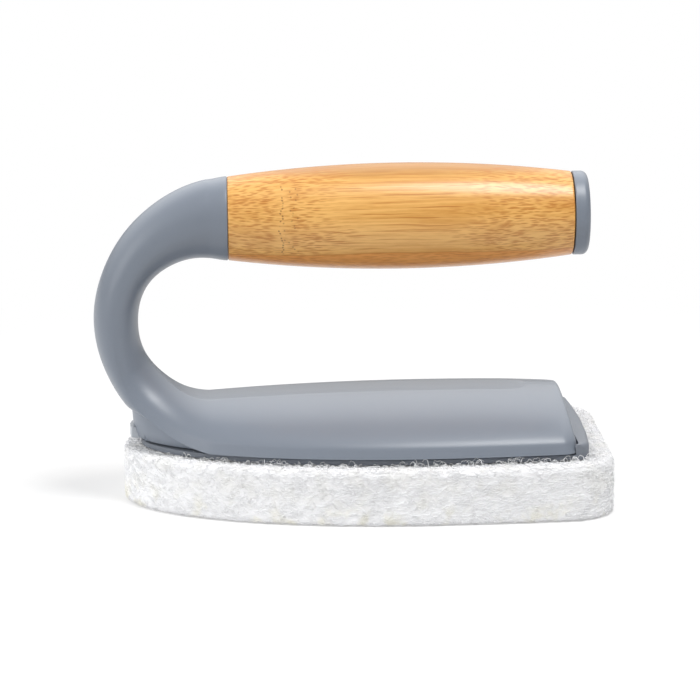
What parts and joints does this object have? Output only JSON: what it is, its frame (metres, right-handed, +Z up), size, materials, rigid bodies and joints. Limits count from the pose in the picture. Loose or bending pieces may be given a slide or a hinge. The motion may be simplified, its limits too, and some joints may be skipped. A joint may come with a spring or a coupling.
{
  "type": "tub scrubber",
  "caption": "Hand-held tub scrubber with an arched arm, a round barrel grip lying over a low cover, and a thick fibre pad on a head that a button at the heel lets go.",
  "frame": {"origin": "centre of the face of the pad that scrubs", "axes": "+X from the heel to the toe, +Y to the far side of the picture, +Z up from the pad to the grip"},
  "size_m": [0.1583, 0.091, 0.1037],
  "materials": {
    "grey_plastic": "satin moulded plastic, blue grey",
    "plate_plastic": "satin moulded plastic, blue grey, a shade darker",
    "pale_plastic": "satin moulded plastic, pale grey",
    "bamboo": "turned and lacquered bamboo",
    "fibre": "open white fibre mat",
    "steel": "bright steel"
  },
  "bodies": {
    "handle": {"handle_body": "grey_plastic", "base_chassis": "grey_plastic", "grip": "bamboo", "tie_rod": "steel", "grip_washer": "steel", "grip_nut": "steel", "end_cap": "grey_plastic", "latch_leaf": "steel", "latch_screw": "steel", "chassis_screw_1": "steel", "chassis_screw_2": "steel", "chassis_screw_3": "steel", "chassis_screw_4": "steel"},
    "button": {"release_button": "pale_plastic"},
    "scrub_head": {"head_plate": "plate_plastic", "pad": "fibre"}
  },
  "joints": [
    {"name": "button_press", "type": "slide", "parent": "handle", "child": "button", "axis": [1, 0, 0], "range_m": [0, 0.0022], "stiffness_N_per_m": 1500, "springref_m": -0.0006, "deforming": ["latch_leaf"]},
    {"name": "head_tilt", "type": "hinge", "parent": "handle", "child": "scrub_head", "pos_m": [0.0622, 0, 0.0214], "axis": [0, -1, 0], "range_deg": [0, 12], "deforming": ["latch_leaf"]}
  ]
}
